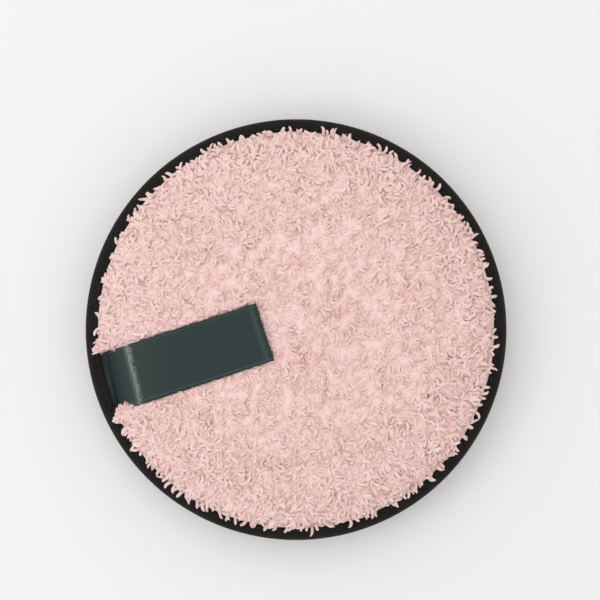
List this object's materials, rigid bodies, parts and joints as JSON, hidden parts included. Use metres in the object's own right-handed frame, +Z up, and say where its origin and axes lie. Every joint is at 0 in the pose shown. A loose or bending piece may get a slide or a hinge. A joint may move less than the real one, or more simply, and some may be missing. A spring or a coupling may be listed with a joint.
{
  "type": "facial cleansing sponge",
  "caption": "Round soft cleansing pad of curly plush over foam, with a dark tape bound round its edge and a flat satin ribbon tag sewn into the rim and lying over one face.",
  "frame": {"origin": "middle of the pad's underside, on the surface that it lies on", "axes": "+Z up out of the face that carries the ribbon tag, +X and +Y across the pad, the tag's root at 198 degrees from +X"},
  "size_m": [0.12, 0.12, 0.0205],
  "materials": {
    "front_plush": "soft matte curly pile, light warm pink",
    "back_plush": "soft matte short pile, light warm pink",
    "foam": "open-cell foam, matte, off-white",
    "binding_tape": "matte woven tape, near black",
    "ribbon_satin": "satin, near black"
  },
  "bodies": {
    "root": {"front_cover": "front_plush", "back_cover": "back_plush", "foam_core": "foam", "edge_binding": "binding_tape", "ribbon_tag": "ribbon_satin"}
  },
  "joints": []
}
